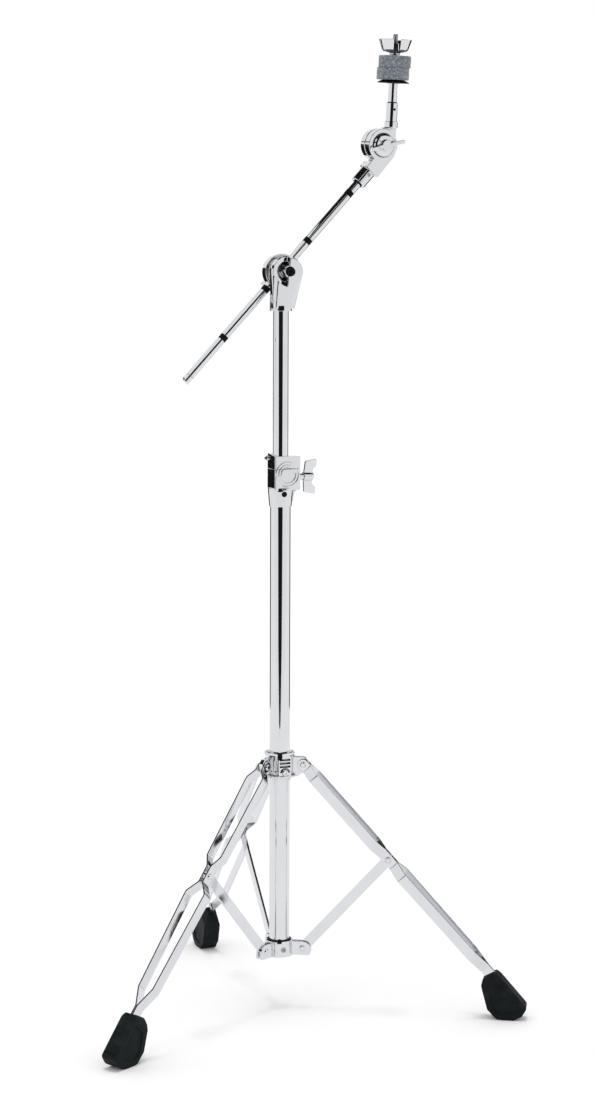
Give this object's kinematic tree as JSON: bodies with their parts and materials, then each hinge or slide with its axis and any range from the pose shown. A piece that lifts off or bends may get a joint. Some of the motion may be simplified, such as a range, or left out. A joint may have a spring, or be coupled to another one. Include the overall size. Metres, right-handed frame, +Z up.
{
  "type": "cymbal boom stand",
  "caption": "Chromed floor stand for a cymbal: double-braced folding tripod, telescoping tubes, tilting boom rod and tilting felt-lined seat.",
  "frame": {"origin": "on the floor, under the axis of the base tube", "axes": "+Z up along the tubes; the boom rises towards +X in a vertical plane parallel to XZ; the boom lies behind the tube on the +Y side"},
  "size_m": [0.5444, 0.4715, 1.2008],
  "materials": {
    "chrome_tube": "polished chrome plate",
    "chrome_cast": "chrome plate on a casting, slightly soft",
    "chrome_steel": "chrome plate on flat steel",
    "plain_steel": "plain machined steel",
    "black_steel": "black oxide",
    "black_plastic": "moulded nylon",
    "black_rubber": "matte moulded rubber",
    "brass": "turned",
    "grey_felt": "pressed wool felt"
  },
  "bodies": {
    "base": {"base_tube": "chrome_tube", "tube_receiver": "chrome_cast", "receiver_bush": "black_plastic", "receiver_rivet": "black_steel", "clamp_pad": "brass", "brace_collar": "chrome_steel", "collar_bush": "black_plastic", "collar_screw": "plain_steel", "collar_pins": "chrome_steel"},
    "clamp_wing": {"clamp_stud": "chrome_steel", "clamp_wing": "chrome_cast"},
    "leg_hub": {"hub_body": "chrome_cast", "hub_bush": "black_plastic", "hub_pins": "chrome_steel", "hub_screw": "chrome_steel"},
    "leg_a": {"leg_a_strap_left": "chrome_steel", "leg_a_strap_right": "chrome_steel", "leg_a_rivet": "chrome_steel", "leg_a_foot": "black_rubber"},
    "brace_a": {"brace_a": "chrome_steel"},
    "leg_b": {"leg_b_strap_left": "chrome_steel", "leg_b_strap_right": "chrome_steel", "leg_b_rivet": "chrome_steel", "leg_b_foot": "black_rubber"},
    "brace_b": {"brace_b": "chrome_steel"},
    "leg_c": {"leg_c_strap_left": "chrome_steel", "leg_c_strap_right": "chrome_steel", "leg_c_rivet": "chrome_steel", "leg_c_foot": "black_rubber"},
    "brace_c": {"brace_c": "chrome_steel"},
    "memory_lock": {"lock_body": "chrome_cast", "lock_screw": "chrome_steel"},
    "middle_tube": {"middle_tube": "chrome_tube", "tube_glide": "black_plastic", "tilter_base": "chrome_cast", "tilter_set_screw": "black_steel"},
    "boom_clamp": {"boom_clamp": "chrome_cast", "tilter_bolt": "black_steel", "boom_pad": "brass"},
    "tilter_wing": {"tilter_stud": "chrome_steel", "tilter_wing": "chrome_cast"},
    "boom_slide": {"boom_plug": "chrome_steel"},
    "boom": {"boom_rod": "chrome_tube", "boom_bands": "black_plastic", "seat_socket": "chrome_cast", "socket_sleeve": "black_plastic", "socket_screw": "plain_steel", "friction_disc": "black_plastic"},
    "seat_tilter": {"seat_head": "chrome_cast", "seat_post": "chrome_steel", "post_rivet": "black_steel", "seat_stud": "plain_steel", "seat_washer": "black_steel", "seat_sleeve": "black_plastic", "felt_lower": "grey_felt", "seat_bolt": "chrome_steel"},
    "seat_wing": {"seat_wing": "chrome_cast"},
    "crown_nut": {"crown_nut": "chrome_cast"},
    "felt_upper": {"felt_upper": "grey_felt"}
  },
  "joints": [
    {"name": "hub_slide", "type": "slide", "parent": "base", "child": "leg_hub", "axis": [0, 0, 1], "range_m": [0, 0.08173]},
    {"name": "clamp_wing_turn", "type": "hinge", "parent": "base", "child": "clamp_wing", "pos_m": [0.034, 0, 0.6632], "axis": [1, 0, 0], "continuous": true},
    {"name": "leg_a_fold", "type": "hinge", "parent": "leg_hub", "child": "leg_a", "pos_m": [-0.02598, -0.015, 0.30881], "axis": [0.5, -0.866, 0], "range_deg": [0, 38.55]},
    {"name": "brace_a_fold", "type": "hinge", "parent": "base", "child": "brace_a", "pos_m": [-0.02598, -0.015, 0.0773], "axis": [-0.5, 0.866, 0], "range_deg": [0, 38.55]},
    {"name": "leg_b_fold", "type": "hinge", "parent": "leg_hub", "child": "leg_b", "pos_m": [0.02598, -0.015, 0.30881], "axis": [0.5, 0.866, 0], "range_deg": [0, 38.55]},
    {"name": "brace_b_fold", "type": "hinge", "parent": "base", "child": "brace_b", "pos_m": [0.02598, -0.015, 0.0773], "axis": [-0.5, -0.866, 0], "range_deg": [0, 38.55]},
    {"name": "leg_c_fold", "type": "hinge", "parent": "leg_hub", "child": "leg_c", "pos_m": [0, 0.03, 0.30881], "axis": [-1, 0, 0], "range_deg": [0, 38.55]},
    {"name": "brace_c_fold", "type": "hinge", "parent": "base", "child": "brace_c", "pos_m": [0, 0.03, 0.0773], "axis": [1, 0, 0], "range_deg": [0, 38.55]},
    {"name": "height_slide", "type": "slide", "parent": "base", "child": "memory_lock", "axis": [0, 0, 1], "range_m": [0, 0.235]},
    {"name": "tube_swivel", "type": "hinge", "parent": "memory_lock", "child": "middle_tube", "pos_m": [0, 0, 0.8], "axis": [0, 0, 1], "continuous": true},
    {"name": "boom_tilt", "type": "hinge", "parent": "middle_tube", "child": "boom_clamp", "pos_m": [0.0055, 0, 0.9115], "axis": [0, -1, 0], "range_deg": [-77, 42.8]},
    {"name": "tilter_wing_turn", "type": "hinge", "parent": "boom_clamp", "child": "tilter_wing", "pos_m": [0.0055, 0.036, 0.9115], "axis": [0, 1, 0], "continuous": true},
    {"name": "boom_slide", "type": "slide", "parent": "boom_clamp", "child": "boom_slide", "axis": [0.6794, 0, 0.7337], "range_m": [-0.1, 0.14]},
    {"name": "boom_roll", "type": "hinge", "parent": "boom_slide", "child": "boom", "pos_m": [0.0055, 0.016, 0.9115], "axis": [0.6794, 0, 0.7337], "continuous": true},
    {"name": "seat_tilt", "type": "hinge", "parent": "boom", "child": "seat_tilter", "pos_m": [0.13361, 0.0143, 1.06763], "axis": [-0.1021, 0.9903, 0.0946], "range_deg": [-110, 80]},
    {"name": "seat_wing_turn", "type": "hinge", "parent": "seat_tilter", "child": "seat_wing", "pos_m": [0.13361, 0.0143, 1.06763], "axis": [0.1021, -0.9903, -0.0946], "continuous": true},
    {"name": "crown_lift", "type": "slide", "parent": "seat_tilter", "child": "crown_nut", "axis": [0.0083, -0.0942, 0.9955], "range_m": [0, 0.02]},
    {"name": "felt_lift", "type": "slide", "parent": "seat_tilter", "child": "felt_upper", "axis": [0.0083, -0.0942, 0.9955], "range_m": [0, 0.01]}
  ],
  "couplings": [
    {"joint": "leg_a_fold", "follows": "hub_slide", "rad_per_m": 8.2216},
    {"joint": "brace_a_fold", "follows": "hub_slide", "rad_per_m": 8.2216},
    {"joint": "leg_b_fold", "follows": "hub_slide", "rad_per_m": 8.2216},
    {"joint": "brace_b_fold", "follows": "hub_slide", "rad_per_m": 8.2216},
    {"joint": "leg_c_fold", "follows": "hub_slide", "rad_per_m": 8.2216},
    {"joint": "brace_c_fold", "follows": "hub_slide", "rad_per_m": 8.2216},
    {"joint": "felt_lift", "follows": "crown_lift", "ratio": 0.5}
  ]
}
